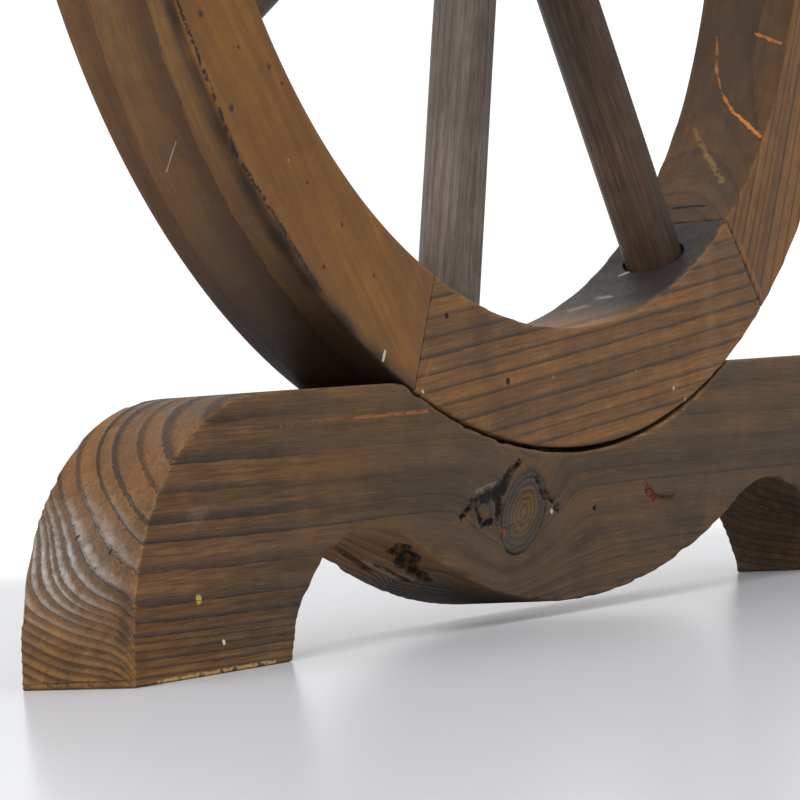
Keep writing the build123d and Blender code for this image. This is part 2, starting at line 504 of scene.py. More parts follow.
def ring_lines(tree, timber, look):
    """How strong the ring's line is, how far through its ring a point is, and a number for the year."""
    ragged = put(tree, "Math", timber["fibre"], look["ragged"], timber["ring"], operation="MULTIPLY_ADD")
    ragged = put(tree, "Math", timber["hair"], look["ragged"] * 0.6, ragged, operation="MULTIPLY_ADD")
    part = put(tree, "Math", ragged, operation="FRACT")
    starts = (look["late_start"], look["late_start_end"])
    start = put(tree, "MapRange", timber["end_grain"], 0.2, 0.8, *starts, **SMOOTH)
    climb = put(tree, "MapRange", part, start, LINE_FULL, **SMOOTH)
    drop = put(tree, "MapRange", part, LINE_ENDING, LINE_ENDED, 1.0, 0.0, **SMOOTH)
    late = put(tree, "Math", climb, drop, operation="MULTIPLY")
    ring = put(tree, "Math", ragged, operation="FLOOR")
    year = put(tree, "TexWhiteNoise", {"W": ring}, noise_dimensions="1D", gives="Value")
    spread = look["ring_spread"]
    strength = put(tree, "Math", year, spread, 1 - spread, operation="MULTIPLY_ADD")
    calmed = put(tree, "MapRange", timber["calm"], 0, 1, 1.0, look["calmed"], **SMOOTH)
    strength = put(tree, "Math", strength, calmed, operation="MULTIPLY")
    return put(tree, "Math", late, strength, operation="MULTIPLY"), part, year


def stained(tree, timber, look, late, year):
    """Earlywood in its cloudy browns, its good years darker, with the latewood's film over it."""
    cloudy = put(tree, "MapRange", timber["cloud"], 0.38, 0.62, **SMOOTH)
    tone = put(tree, "Math", timber["streak"], 0.9, operation="MULTIPLY")
    tone = put(tree, "Math", year, 0.3, tone, operation="MULTIPLY_ADD")
    banded = put(tree, "MapRange", tone, 0.5, 0.8, 0.0, look["bands"], **SMOOTH)
    streaky = put(tree, "MapRange", timber["streak"], 0.25, 0.55, 0.6, 1.0, **SMOOTH)
    warmth = put(tree, "Math", timber["warm"], streaky, operation="MULTIPLY")
    film = put(tree, "Math", late, look["late_share"], operation="MULTIPLY")
    return lay(
        tree,
        look["early"],
        (cloudy, look["early_warm"]),
        (banded, look["early_dark"]),
        (warmth, look["glow"]),
        (timber["grey"], look["grey"]),
        (film, look["late"]),
    )


def lightness(tree, timber, look):
    """How much lighter or darker the fibres, the stain's clouds, the saw and the grit make a point."""
    spans = {"hair": (0.3, 0.7), "fibre": (0.3, 0.7), "mottle": (0.3, 0.7), "saw": (0.35, 0.65)}
    swing = {}
    for name, span in spans.items():
        ends = (1 - look[name], 1 + look[name])
        swing[name] = put(tree, "MapRange", timber[name], *span, *ends, **SMOOTH)
    shade = put(tree, "Math", swing["hair"], swing["fibre"], operation="MULTIPLY")
    calmed = put(tree, "Math", timber["calm"], 0.55, operation="MULTIPLY")
    shade = put(tree, "Mix", {0: calmed, 2: shade, 3: 1.0})
    grit = put(tree, "MapRange", timber["grit"], 0.6, 0.75, 1.0, 1 - look["grit"], **SMOOTH)
    for change in (swing["mottle"], swing["saw"], grit):
        shade = put(tree, "Math", shade, change, operation="MULTIPLY")
    return shade


print("a ring's line is full from", LINE_FULL, "to", LINE_ENDING, "of the way through it")


# %% Knots, wear and marks
# A joint's seam is dark up to the first distance and gone at the second, in metres.
SEAM_DARK, SEAM_GONE = 0.0004, 0.0009


def knots(tree, timber, look):
    """A knot's colour, where it lies, its own ring lines, and the crack round its edge."""
    count = put(tree, "Math", timber["knot"], look["knot_rings"], operation="MULTIPLY")
    count = put(tree, "Math", timber["crumb"], 1.1, count, operation="MULTIPLY_ADD")
    count = put(tree, "Math", timber["fibre"], 0.6, count, operation="MULTIPLY_ADD")
    line = put(tree, "Math", count, operation="FRACT")
    line = put(tree, "MapRange", line, 0.4, 0.9, **SMOOTH)
    outwards = put(tree, "MapRange", timber["knot"], 0.45, 0.8, **SMOOTH)
    drawn = put(tree, "Math", line, 0.6, operation="MULTIPLY")
    colour = lay(tree, look["knot_heart"], (outwards, look["knot_rim"]), (drawn, look["knot_line"]))
    inside = put(tree, "MapRange", timber["knot"], 0.96, 1.04, 1.0, 0.0, **SMOOTH)
    edge = put(tree, "Math", timber["knot"], 1.02, operation="SUBTRACT")
    edge = put(tree, "Math", edge, operation="ABSOLUTE")
    edge = put(tree, "MapRange", edge, 0.0, 0.07, 1.0, 0.0, **SMOOTH)
    torn = put(tree, "MapRange", timber["streak"], 0.4, 0.6, 0.35, 1.0, **SMOOTH)
    crack = put(tree, "Math", edge, torn, operation="MULTIPLY")
    return colour, inside, line, crack


def worn_coats(tree, timber, look, part):
    """Coats over the stain: rubbed arrises, bloom and painted sheen by each line, painted shade with one
    felloe's dark arris band, and the joints' seams.
    """
    fibres = put(tree, "MapRange", timber["fibre"], 0.4, 0.62, **SMOOTH)
    rubbed = put(tree, "Math", timber["worn"], fibres, operation="MULTIPLY")
    rubbed = put(tree, "Math", rubbed, look["rub"], operation="MULTIPLY")
    # Bloom: a pale haze on the end, and partly a painted sheen on the upper flank of each ridge.
    climb = put(tree, "MapRange", part, 0.42, 0.8, **SMOOTH)
    drop = put(tree, "MapRange", part, 0.9, 0.97, 1.0, 0.1, **SMOOTH)
    flank = put(tree, "Math", climb, drop, operation="MULTIPLY")
    bloom_and_sheen = put(tree, "Math", flank, 0.85, 0.1, operation="MULTIPLY_ADD")
    bloom_and_sheen = put(tree, "Math", bloom_and_sheen, timber["bloom_and_sheen"], operation="MULTIPLY")
    crumbs = put(tree, "MapRange", timber["crumb"], 0.3, 0.65, 0.35, 1.0, **SMOOTH)
    bloom_and_sheen = put(tree, "Math", bloom_and_sheen, crumbs, operation="MULTIPLY")
    seam = put(tree, "Math", timber["grit"], 0.0006, timber["joint"], operation="MULTIPLY_ADD")
    seam = put(tree, "MapRange", seam, SEAM_DARK, SEAM_GONE, 0.9, 0.0, **SMOOTH)
    return (
        (rubbed, look["rubbed"]),
        (bloom_and_sheen, look["bloom_and_sheen"]),
        # Painted shade: the shadow colour goes where the dark field lies, on faces in shade, and on felloe 6
        # also over a dark band along its arris.
        (timber["dark"], look["shadow"]),
        (seam, look["black"]),
    )


def stroke(tree, timber, mark):
    """1 inside a ragged stroke between two points, or a dot when both are the same."""
    start, end = np.array(mark["from"]), np.array(mark.get("to", mark["from"]))
    run = end - start
    offset = put(tree, "VectorMath", timber["surface"], tuple(start), operation="SUBTRACT")
    if run.any():
        unit_run = tuple(run / (run @ run))
        share = put(tree, "VectorMath", offset, unit_run, operation="DOT_PRODUCT", gives="Value")
        share = put(tree, "Clamp", {"Value": share})
        reached = put(tree, "VectorMath", {0: tuple(run), "Scale": share}, operation="SCALE")
        offset = put(tree, "VectorMath", offset, reached, operation="SUBTRACT")
    away = put(tree, "VectorMath", offset, operation="LENGTH", gives="Value")
    ragged = mark["radius"] * mark.get("ragged", 0.8)
    crumbs = put(tree, "Math", timber["crumb"], 0.5, operation="SUBTRACT")
    away = put(tree, "Math", crumbs, 4 * ragged, away, operation="MULTIPLY_ADD")
    soft, share = mark.get("soft", 0.35), mark.get("share", 1.0)
    edge = (mark["radius"] * (1 - soft), mark["radius"] * (1 + soft))
    mask = put(tree, "MapRange", away, *edge, share, 0.0, **SMOOTH)
    if "broken" in mark:
        gaps = put(tree, "MapRange", timber["crumb"], mark["broken"], mark["broken"] + 0.06, **SMOOTH)
        mask = put(tree, "Math", mask, gaps, operation="MULTIPLY")
    return mask


print("a seam darkens at most the last", SEAM_GONE / MM, "mm of a felloe")


# %% The timber material
SAW_DEPTH = 0.0006
PIT_DEPTH = 0.0012


def relief(tree, timber, look, late, knotty, pits):
    """The height of the surface in metres: proud lines, fibres, saw lines and knots, and sunk pits."""
    height = put(tree, "Math", late, look["ridge"], operation="MULTIPLY")
    proud = (
        (timber["hair"], look["hair_height"]),
        (timber["fibre"], look["hair_height"]),
        (timber["saw"], look["saw"] * SAW_DEPTH),
        (knotty, look["ridge"] * 0.6),
    )
    for figure, size in proud:
        height = put(tree, "Math", figure, size, height, operation="MULTIPLY_ADD")
    if pits:
        pit = pits[0]
        for mask in pits[1:]:
            pit = put(tree, "Math", pit, mask, operation="MAXIMUM")
        height = put(tree, "Math", pit, -PIT_DEPTH, height, operation="MULTIPLY_ADD")
    return height


def brushed_softwood(name, look, marks=()):
    """Brushed, stained softwood: its ring lines, fibres, stain clouds, knots, saw lines and wear."""
    material = bpy.data.materials.new(name)
    tree = blank(material)
    timber = timber_of(tree)
    late, part, year = ring_lines(tree, timber, look)
    colour = stained(tree, timber, look, late, year)
    shade = lightness(tree, timber, look)
    colour = put(tree, "VectorMath", {0: colour, "Scale": shade}, operation="SCALE")

    hairs = put(tree, "MapRange", timber["hair"], 0.63, 0.72, **SMOOTH)
    clear = put(tree, "MapRange", timber["cloud"], 0.4, 0.6, **SMOOTH)
    sparks = put(tree, "Math", hairs, clear, operation="MULTIPLY")
    sparks = put(tree, "Math", sparks, look["sparks"], operation="MULTIPLY")
    knot_colour, inside, knot_line, crack = knots(tree, timber, look)
    colour = lay(tree, colour, (sparks, look["glow"]), (inside, knot_colour), (crack, look["black"]))
    colour = lay(tree, colour, *worn_coats(tree, timber, look, part))
    masks = [stroke(tree, timber, mark) for mark in marks]
    colour = lay(tree, colour, *[(mask, mark["colour"]) for mask, mark in zip(masks, marks)])

    knotty = put(tree, "Math", knot_line, inside, operation="MULTIPLY")
    pits = [mask for mask, mark in zip(masks, marks) if mark.get("pit")]
    height = relief(tree, timber, look, late, knotty, pits)
    bump = put(tree, "Bump", {"Height": height, "Distance": 1.0, "Strength": 1.0})
    glosses = (look["rough"] - 0.07, look["rough"] + 0.07)
    gloss = put(tree, "MapRange", timber["fibre"], 0.3, 0.7, *glosses, **SMOOTH)
    feeds = {"Base Color": colour, "Roughness": gloss, "Normal": bump, "IOR": 1.5}
    shader = put(tree, "BsdfPrincipled", {**feeds, "Specular IOR Level": look["sheen"]})
    put(tree, "OutputMaterial", {"Surface": shader})
    return material


print("a saw line is at most", SAW_DEPTH / MM, "mm deep, and a drawn pit", PIT_DEPTH / MM)

# %% [markdown]
# ## The stain recipe
# All the timber shares one recipe, and each piece changes a little of it: how strongly the latewood
# shows, how warm the earlywood is and how rough the brush left it.

# %% Recipe
FOOT_LOOK = {
    "early": "#5a422c",
    "early_warm": "#6c4b25",
    "early_dark": "#3c2e1e",
    "late": "#2a2522",
    "late_share": 0.85,
    "late_start": 0.55,
    "late_start_end": 0.87,
    "ragged": 0.22,
    "ring_spread": 0.25,
    "calmed": 0.35,
    "bands": 0.75,
    "glow": "#8f5e2a",
    "grey": "#433a30",
    "hair": 0.27,
    "fibre": 0.2,
    "saw": 0.0,
    "grit": 0.2,
    "mottle": 0.13,
    "sparks": 0.45,
    "knot_heart": "#5f4526",
    "knot_rim": "#443b32",
    "knot_line": "#231f1d",
    "knot_rings": 6.0,
    "black": "#0e0b0a",
    "shadow": "#1c1613",
    "rub": 0.5,
    "rubbed": "#8f6c44",
    "bloom_and_sheen": "#9a958f",
    "ridge": 0.0006,
    "hair_height": 0.00016,
    "rough": 0.55,
    "sheen": 0.2,
}


def recipe(**changes):
    """The foot's recipe with a few entries changed."""
    return {**FOOT_LOOK, **changes}


print("foot recipe has", len(FOOT_LOOK), "entries")

# %% [markdown]
# ## The cradle foot
# One plank on edge, 50 mm thick, with its ends rounded, two arches sawn below and the saddle above.
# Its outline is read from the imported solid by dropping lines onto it, so the two can't differ. The
# pith lay above and in front of the plank, so its end shows long arcs that sweep from the front up to
# the top, and its front shows nearly straight lines. Low down the arcs flatten and dip to the front.

# %% Reading the foot's outline
def outline_of(node, low, high, step=0.25 * MM):
    """The upper and lower edge lines of a node, from one end to the other, in the XZ plane."""
    tree = BVHTree.FromObject(frame["nodes"][node], bpy.context.evaluated_depsgraph_get())
    middle = (low[1] + high[1]) / 2
    upper, lower = [], []
    for x in np.arange(low[0] + step / 4, high[0], step):
        top = tree.ray_cast(Vector((x, middle, high[2] + 1)), Vector((0, 0, -1)))[0]
        bottom = tree.ray_cast(Vector((x, middle, low[2] - 1)), Vector((0, 0, 1)))[0]
        upper.append((x, top.z))
        lower.append((x, bottom.z))
    return np.array(upper), np.array(lower)


FOOT_TOP, FOOT_UNDER = outline_of("cradle_foot", FOOT_LOW, FOOT_HIGH)
END_LIFT = 3 * MM
FOOT_TOP = np.vstack([(FOOT_LOW[0], END_LIFT), FOOT_TOP, (FOOT_HIGH[0], END_LIFT)])
FOOT_UNDER = np.vstack([(FOOT_LOW[0], 0), FOOT_UNDER, (FOOT_HIGH[0], 0)])
print("outline points", len(FOOT_TOP), len(FOOT_UNDER))


# %% The log of the foot
def foot_settle(points):
    """How far the rings sag low in the plank, where they lie flatter and dip to the front."""
    from_front = points[:, 1] - FOOT_LOW[1]
    low = 1 - ease(25 * MM, 62 * MM, points[:, 2])
    dip = 12 * MM * np.exp(-from_front / (6 * MM)) * (1 - ease(5 * MM, 50 * MM, points[:, 2]))
    return 0.45 * from_front * low + dip


FOOT_PITH = (0, -78 * MM, 147 * MM)
# Heights in millimetres where the rings cross the left end: the first four on its front arris, and
# the rest on a line a little behind the plank's middle.
ARRIS_HEIGHTS = (90, 75, 66, 55.5)
END_LINE = 9 * MM
END_HEIGHTS = (79, 66.5, 57, 50, 40, 35.8, 30.3, 26.4, 22.5, 19, 15.5, 12, 8.5, 5, 1.5)
BIG_KNOT = {
    "at": np.array([-50.5, -25, 44.5]) * MM,
    "heading": (-0.62, 0.61, -0.48),
    "radius": 13 * MM,
    "spread": 15 * MM,
    "swell": 15 * MM,
    "to": 0.06,
}
SMALL_KNOT = {
    "at": np.array([-82, -25, 46]) * MM,
    "heading": (0.1, 1.0, -0.1),
    "radius": 5.5 * MM,
    "spread": 9 * MM,
    "swell": 5 * MM,
    "to": 0.02,
}
FOOT_LOG = {
    "grain": (1, 0, 0),
    "pith": FOOT_PITH,
    "wander": 1.6 * MM,
    "wander_length": 0.10,
    "seed": 5,
    "settle": foot_settle,
    "knots": (BIG_KNOT, SMALL_KNOT),
}


def reach_at(y, height):
    """How far the foot's pith is from a place on its end, in metres."""
    place = np.array([[0, y, height]])
    sag = height - FOOT_PITH[2] + foot_settle(place)[0]
    return math.hypot(y - FOOT_PITH[1], sag)


arris_edges = [reach_at(FOOT_LOW[1], height * MM) for height in ARRIS_HEIGHTS]
end_edges = [reach_at(END_LINE, height * MM) for height in END_HEIGHTS]
FOOT_LOG["edges"] = np.array(arris_edges + end_edges)
print("ring edges from the pith, in mm", (FOOT_LOG["edges"] / MM).round(1))

# %% [markdown]
# ## What has happened to this plank
# Bark pockets, torn knots, drips of paint and splinters are what make one plank this plank. Each is a
# ragged stroke between two points of the real surface, and the deep ones are also carved.

# %% The marks of the foot
def marks_mm(*rows):
    """Marks from rows of (colour, radius, from, to, extra settings), in millimetres.

    A mark with no second place is a dot. "share" is how much of it shows, "soft" and "ragged" say how
    its edge fades and strays, and "broken" leaves gaps in it. A "pit" is also cut into the surface.
    """
    made = []
    for colour, radius, start, end, extra in rows:
        mark = {"colour": colour, "radius": radius * MM, "from": np.array(start) * MM, **extra}
        mark["to"] = mark["from"] if end is None else np.array(end) * MM
        made.append(mark)
    return made


# The front faces of the plank and of the rim both lie 25 mm in front of their middle.
FRONT = -25
TORN, DEEP, SPLIT = "#0c0908", "#0b0807", "#14100e"
PIT = {"pit": True}
CLEAN = {"ragged": 0.5}
FAINT = {"share": 0.35, "soft": 0.8, "ragged": 1.2}
SPLINTER = {"ragged": 1.0, "broken": 0.44}


def on_end(y, up):
    """A place on the left end, this many millimetres up along its curve."""
    run = np.linalg.norm(np.diff(FOOT_TOP, axis=0), axis=1).cumsum()
    x, z = FOOT_TOP[1 + np.searchsorted(run, (up - 3) * MM)]
    return (x / MM, y, z / MM)


FOOT_MARKS = marks_mm(
    ("#a8973c", 1.5, (-281, FRONT, 27.5), None, {"ragged": 0.6}),
    ("#c9c4ba", 0.8, (-267, FRONT, 11), None, {}),
    ("#8f8474", 4.0, (-277, FRONT, 58), None, {"share": 0.16, "soft": 0.9, "ragged": 1.2}),
    ("#8a5426", 0.8, (-222, FRONT, 86.6), (-176, FRONT, 88.2), {**SPLINTER, "share": 0.5}),
    ("#a5602a", 0.8, (-170, FRONT, 87.6), (-118, FRONT, 88), {**SPLINTER, "share": 0.7}),
    ("#b8935f", 1.0, (-308, FRONT, 0.6), (-236, FRONT, 1.0), {**SPLINTER, "share": 0.9}),
    ("#6b3f2a", 2.2, (-106, FRONT, 42), (-94, FRONT, 43), {"share": 0.7, "broken": 0.46}),
    ("#6f685f", 1.0, (-86, FRONT, 54.5), (-72, FRONT, 57), {"broken": 0.45, "share": 0.8}),
    (TORN, 1.1, (-99, FRONT, 45), (-90, FRONT, 49.5), PIT),
    (TORN, 1.9, (-90, FRONT, 49.5), (-76, FRONT, 52), PIT),
    (TORN, 2.9, (-72, FRONT, 51.5), (-67, FRONT, 54.5), PIT),
    (TORN, 2.2, (-66, FRONT, 55), (-60, FRONT, 59.5), PIT),
    (TORN, 1.1, (-59, FRONT, 60.5), (-51, FRONT, 64.5), PIT),
    (TORN, 1.9, (-69, FRONT, 51), (-71, FRONT, 44), PIT),
    (TORN, 1.1, (-87, FRONT, 48), (-84, FRONT, 41.5), PIT),
    (TORN, 1.1, (-84, FRONT, 41), (-77, FRONT, 42), PIT),
    ("#7a4429", 2.0, (-70, FRONT, 38), (-67, FRONT, 36), {"share": 0.8, "broken": 0.44}),
    (TORN, 1.2, (-38, FRONT, 57), (-34, FRONT, 49), {**PIT, "share": 0.8}),
    (TORN, 2.0, (-24, FRONT, 44), None, PIT),
    (TORN, 0.9, (-33, FRONT, 51), (-27, FRONT, 47), PIT),
    ("#b7b49c", 1.0, (-28.5, FRONT, 43), None, CLEAN),
    (TORN, 1.1, (7, FRONT, 42), None, PIT),
    ("#7a3d24", 1.9, (53, FRONT, 47), (60, FRONT, 42.5), {**PIT, "ragged": 1.3}),
    ("#6e4128", 0.9, (60, FRONT, 43), (75, FRONT, 42), {**PIT, "broken": 0.45}),
    (TORN, 1.2, (54, FRONT, 46), (59, FRONT, 42.5), {**PIT, "ragged": 1.3, "broken": 0.45}),
    ("#8a6032", 7.0, (108, FRONT, 33), (122, FRONT, 31), {"share": 0.22, "soft": 0.9}),
    (SPLIT, 0.45, on_end(6.5, 66), on_end(7.5, 62), CLEAN),
    (SPLIT, 0.45, on_end(4.2, 55.8), on_end(6.3, 51.4), CLEAN),
    (SPLIT, 0.45, on_end(-12, 49), on_end(-9.8, 46), CLEAN),
    (SPLIT, 0.45, on_end(-8, 44.7), on_end(-6, 42.8), CLEAN),
    (SPLIT, 0.4, on_end(8, 45), on_end(9, 42), CLEAN),
    ("#2a211c", 3.0, on_end(-22, 30), on_end(-21, 12), {"share": 0.5, "soft": 0.9}),
)
HOLES = marks_mm(
    (DEEP, 3.2, (-131, -17, 35), (-126, -10, 33), PIT),
    ("#7a4523", 1.6, (-127, -13, 33.5), (-124, -10, 32.5), {"broken": 0.42}),
    (DEEP, 4.6, (-124, -15, 32), (-117, -9, 29), PIT),
    (DEEP, 3.6, (-118, -8, 29), (-106, -7, 23.5), PIT),
    ("#5a3220", 2.0, (-121, -12, 31), (-114, -10, 27.5), {"broken": 0.47}),
    (DEEP, 2.4, (-106, -7, 23.5), (-99, -6, 20), PIT),
    ("#4a2416", 1.4, (-106, -3, 23), (-99, -2, 20), {"broken": 0.45}),
    (DEEP, 1.6, (-132, 12, 35), (-112, 12, 26), PIT),
    ("#8a7f72", 1.6, (-120, 8, 30), (-100, 6, 20.5), {"broken": 0.42, "share": 0.8}),
    (DEEP, 1.2, (-116, 5, 28), (-98, 3, 19.5), PIT),
    ("#8a7f72", 1.4, (-108, 1, 24), (-93, -1, 17.5), {"broken": 0.42, "share": 0.7}),
    (DEEP, 0.9, (-100, -1, 20), (-90, -5, 16.5), PIT),
)
print("marks", len(FOOT_MARKS) + len(HOLES))

# %% Making the foot
FOOT_STATIONS = 470
FOOT_ROWS, FOOT_ACROSS = 58, 38


def end_weighted(count):
    """Shares from 0 to 1 that lie closer together near both ends."""
    even = np.linspace(-1, 1, count)
    return 0.5 + 0.5 * (even * 1.28 - 0.28 * even**3)


def pits(points, holes, depth):
    """How deep each point lies in the carved holes."""
    sunk = np.zeros(len(points))
    for hole in holes:
        start, end = hole["from"], hole["to"]
        run = end - start
        share = np.clip((points - start) @ run / max(run @ run, 1e-12), 0, 1)
        away = np.linalg.norm(points - start - share[:, None] * run, axis=1)
        sunk = np.maximum(sunk, depth * (1 - ease(0.3, 1.1, away / hole["radius"])))
    return sunk


def make_foot():
    """The plank as a grid between its edge lines, then brushed and carved."""
    shares = end_weighted(FOOT_STATIONS)
    loop = section_loop(FOOT_ROWS, FOOT_ACROSS, FOOT_ARRIS, FOOT_HIGH[1] - FOOT_LOW[1])
    points, faces = board(spaced(FOOT_TOP, shares), spaced(FOOT_UNDER, shares), loop)
    foot = solid("foot_plank", points, faces)
    points = points_of(foot.data)
    facing = normals_of(foot.data)
    count = in_log(points, FOOT_LOG)[1]
    end = ease(0.2, 0.8, np.abs(facing[:, 0]))
    lifted = ease(0, 3 * MM, points[:, 2])
    brushed = (0.22 + 0.78 * end) * 0.9 * MM * (1 - ridge(count)) * lifted
    carved = pits(points, [m for m in HOLES if m.get("pit")], 5 * MM)
    carved = np.maximum(carved, pits(points, [m for m in FOOT_MARKS if m.get("pit")], 1.5 * MM))
    splintered = ease(0.2, 1, sway(points, 0.012, 41)) * near_lines(points, RAILS, 3 * MM)
    sink(foot, brushed + carved + 0.8 * MM * splintered * lifted)
    return foot


RAIL_POINTS = 900
even = np.linspace(0, 1, RAIL_POINTS)
RAILS = [
    (x, y, z)
    for line in (spaced(FOOT_TOP, even), spaced(FOOT_UNDER, even))
    for y in (FOOT_LOW[1], FOOT_HIGH[1])
    for x, z in line
]
foot = make_foot()
points = points_of(foot.data)
facing = normals_of(foot.data)
along, height = points[:, 0], points[:, 2]
print("foot points", len(points))

# %% [markdown]
# ## Where the stain differs on the foot
# Oil and light have warmed the left end, the front beside it and a patch beneath. Further along, the
# plank is a cloudy grey. Its undersides, the far foot's inner face and the top of the left end are
# darkened as painted shade, a pale bloom with a painted sheen lies on the end, and the saddle's lip
# is worn pale. Each of these is a soft-edged field over the points.

# %% The fields of the foot
left_end = ease(0.25, 0.7, -facing[:, 0]) * ease(0.20, 0.23, -along)
low_end = left_end * (1 - ease(0.02, 0.04, height))
high_end = left_end * ease(0.045, 0.075, height)
under = ease(0.1, 0.6, -facing[:, 2])
front = ease(0.3, 0.7, np.abs(facing[:, 1]))
far_foot = ease(0.1, 0.5, -facing[:, 0]) * ease(0.15, 0.2, along)
scooped = under * (1 - ease(-0.125, -0.085, along)) * ease(-0.2, -0.18, along)
cloudy = ease(-0.24, -0.12, along) * (1 - under)
saddle = [(x, FOOT_LOW[1], z) for x, z in FOOT_TOP if 0.045 < x < 0.105]
arrises, lip = near_lines(points, RAILS, 2.5 * MM), near_lines(points, saddle, 2.5 * MM)
end_patch = within(points, (-0.31, 0.01, 0.05), (0.04, 0.05, 0.03))
# Where the bloom and its painted sheen lie on the left end.
bloom_and_sheen_patch = within(points, (-0.312, 0.012, 0.046), (0.05, 0.045, 0.034))
warm_front = 0.2 * front * ease(0.2, 0.3, -along)
calm_front = ease(-0.26, -0.17, along) * front
fields = {
    "worn": np.maximum(0.8 * arrises, 2 * lip),
    "warm": 0.1 * left_end + 0.32 * high_end + warm_front + 0.4 * scooped,
    "grey": 0.4 * cloudy + 0.5 * end_patch,
    # Painted shade on the undersides, on the far foot's inner face and on the top of the left end.
    "dark": np.maximum(0.45 * under * (1 - scooped), 0.45 * far_foot) + 0.25 * high_end,
    "calm": np.maximum(calm_front, np.maximum(0.6 * low_end, 0.8 * scooped)),
    "bloom_and_sheen": left_end * bloom_and_sheen_patch,
}
describe(foot, FOOT_LOG, points, **fields)
foot_timber = brushed_softwood("brushed softwood, foot", FOOT_LOOK, FOOT_MARKS + HOLES)
settle_in(foot, "cradle_foot", "stand", foot_timber)

# %% [markdown]
# ## The felloes
# Each felloe was sawn from its own board, so its grain runs straight across the curve and its figure
# differs from its neighbour's. The bottom one is quarter-sawn and shows bold lines. The left one is
# flat-sawn and rubbed smooth, so its front is nearly plain and its tread carries two dark bands.

# %% Felloe helpers
def polar(radius, degrees):
    """A point of the wheel's plane, as x and z."""
    turn = math.radians(degrees)
    return (WHEEL_CENTRE[0] + radius * math.cos(turn), WHEEL_CENTRE[2] + radius * math.sin(turn))


def on_wheel(radius, degrees, y):
    """A point of the wheel, from millimetres of radius and depth."""
    x, z = polar(radius * MM, degrees)
    return (x / MM, y, z / MM)


def middle_of(number):
    """The angle of a felloe's middle."""
    return BOTTOM_FELLOE_ANGLE + (number - 1) * FELLOE_SWEEP


def felloe_log(number, grain_angle, pith_in, pith_back, edges, seed, tilt=0.0, wander=1.6):
    """A felloe's log. Its pith and ring edges are in millimetres, in towards the hub and back."""
    x, z = polar(WHEEL_RADIUS - RIM_DEPTH / 2 - pith_in * MM, middle_of(number))
    turn = math.radians(grain_angle)
    return {
        "grain": (math.cos(turn), tilt, math.sin(turn)),
        "pith": (x, pith_back * MM, z),
        "edges": np.array(edges) * MM,
        "wander": wander * MM,
        "seed": seed,
    }


def holes_in(number):
    """The start and end of each spoke hole in a felloe."""
    found = []
    for n in range(1, SPOKE_COUNT + 1):
        angle = spoke_angle(n)
        if abs((angle - middle_of(number) + 180) % 360 - 180) < FELLOE_SWEEP / 2:
            near, far = polar(RIM_INNER - 10 * MM, angle), polar(SPOKE_ENDS[1], angle)
            found.append(((near[0], 0, near[1]), (far[0], 0, far[1])))
    return found


FELLOE_STATIONS = 230
FELLOE_ROWS, FELLOE_ACROSS = 36, 36


def make_felloe(number, log, relief):
    """One sixth of the rim, brushed, with its joints eased and its spoke holes bored."""
    middle = middle_of(number)
    turns = np.linspace(middle + FELLOE_SWEEP / 2, middle - FELLOE_SWEEP / 2, FELLOE_STATIONS)
    upper = np.array([polar(WHEEL_RADIUS, t) for t in turns])
    lower = np.array([polar(RIM_INNER, t) for t in turns])
    loop = section_loop(FELLOE_ROWS, FELLOE_ACROSS, RIM_ARRIS, RIM_HIGH[1] - RIM_LOW[1])
    points, faces = board(upper, lower, loop)
    piece = solid(f"rim_felloe_{number}", points, faces)
    points = points_of(piece.data)
    count = in_log(points, log)[1]
    eased = 0.4 * MM * (1 - ease(0, 0.6 * MM, from_joint(points, middle)))
    sink(piece, relief * MM * (1 - ridge(count)) + eased)
    for start, end in holes_in(number):
        bore(piece, start, end, SPOKE_RADIUS + SPOKE_HOLE_SLACK)
    return piece


def angles_of(points):
    """Each point's angle round the wheel, in degrees."""
    return np.degrees(np.arctan2(points[:, 2] - WHEEL_CENTRE[2], points[:, 0] - WHEEL_CENTRE[0]))


def radii_of(points):
    """Each point's distance from the wheel's axis."""
    return np.hypot(points[:, 0] - WHEEL_CENTRE[0], points[:, 2] - WHEEL_CENTRE[2])


def from_joint(points, middle):
    """Each point's distance from the nearer joint of its felloe."""
    turned = np.abs((angles_of(points) - middle + 180) % 360 - 180)
    return np.maximum(np.radians(FELLOE_SWEEP / 2 - turned), 0) * radii_of(points)


def rim_fields(points, middle):
    """Where a felloe is worn, and its distance from its joints."""
    radius = radii_of(points)
    to_edge = np.minimum(np.abs(radius - WHEEL_RADIUS), np.abs(radius - RIM_INNER))
    to_face = np.minimum(np.abs(points[:, 1] - RIM_LOW[1]), np.abs(points[:, 1] - RIM_HIGH[1]))
    return {
        "worn": 1 - ease(0, 3 * MM, np.hypot(to_edge, to_face)),
        "joint": from_joint(points, middle),
    }


def rim_cut_place(points, middle):
    """Where each point lies along the saw's cut round the rim."""
    turned = np.radians((angles_of(points) - middle + 180) % 360 - 180)
    return np.column_stack([turned * WHEEL_RADIUS, points[:, 1], radii_of(points)])


print("felloe middles", [middle_of(n) for n in range(1, FELLOE_COUNT + 1)])

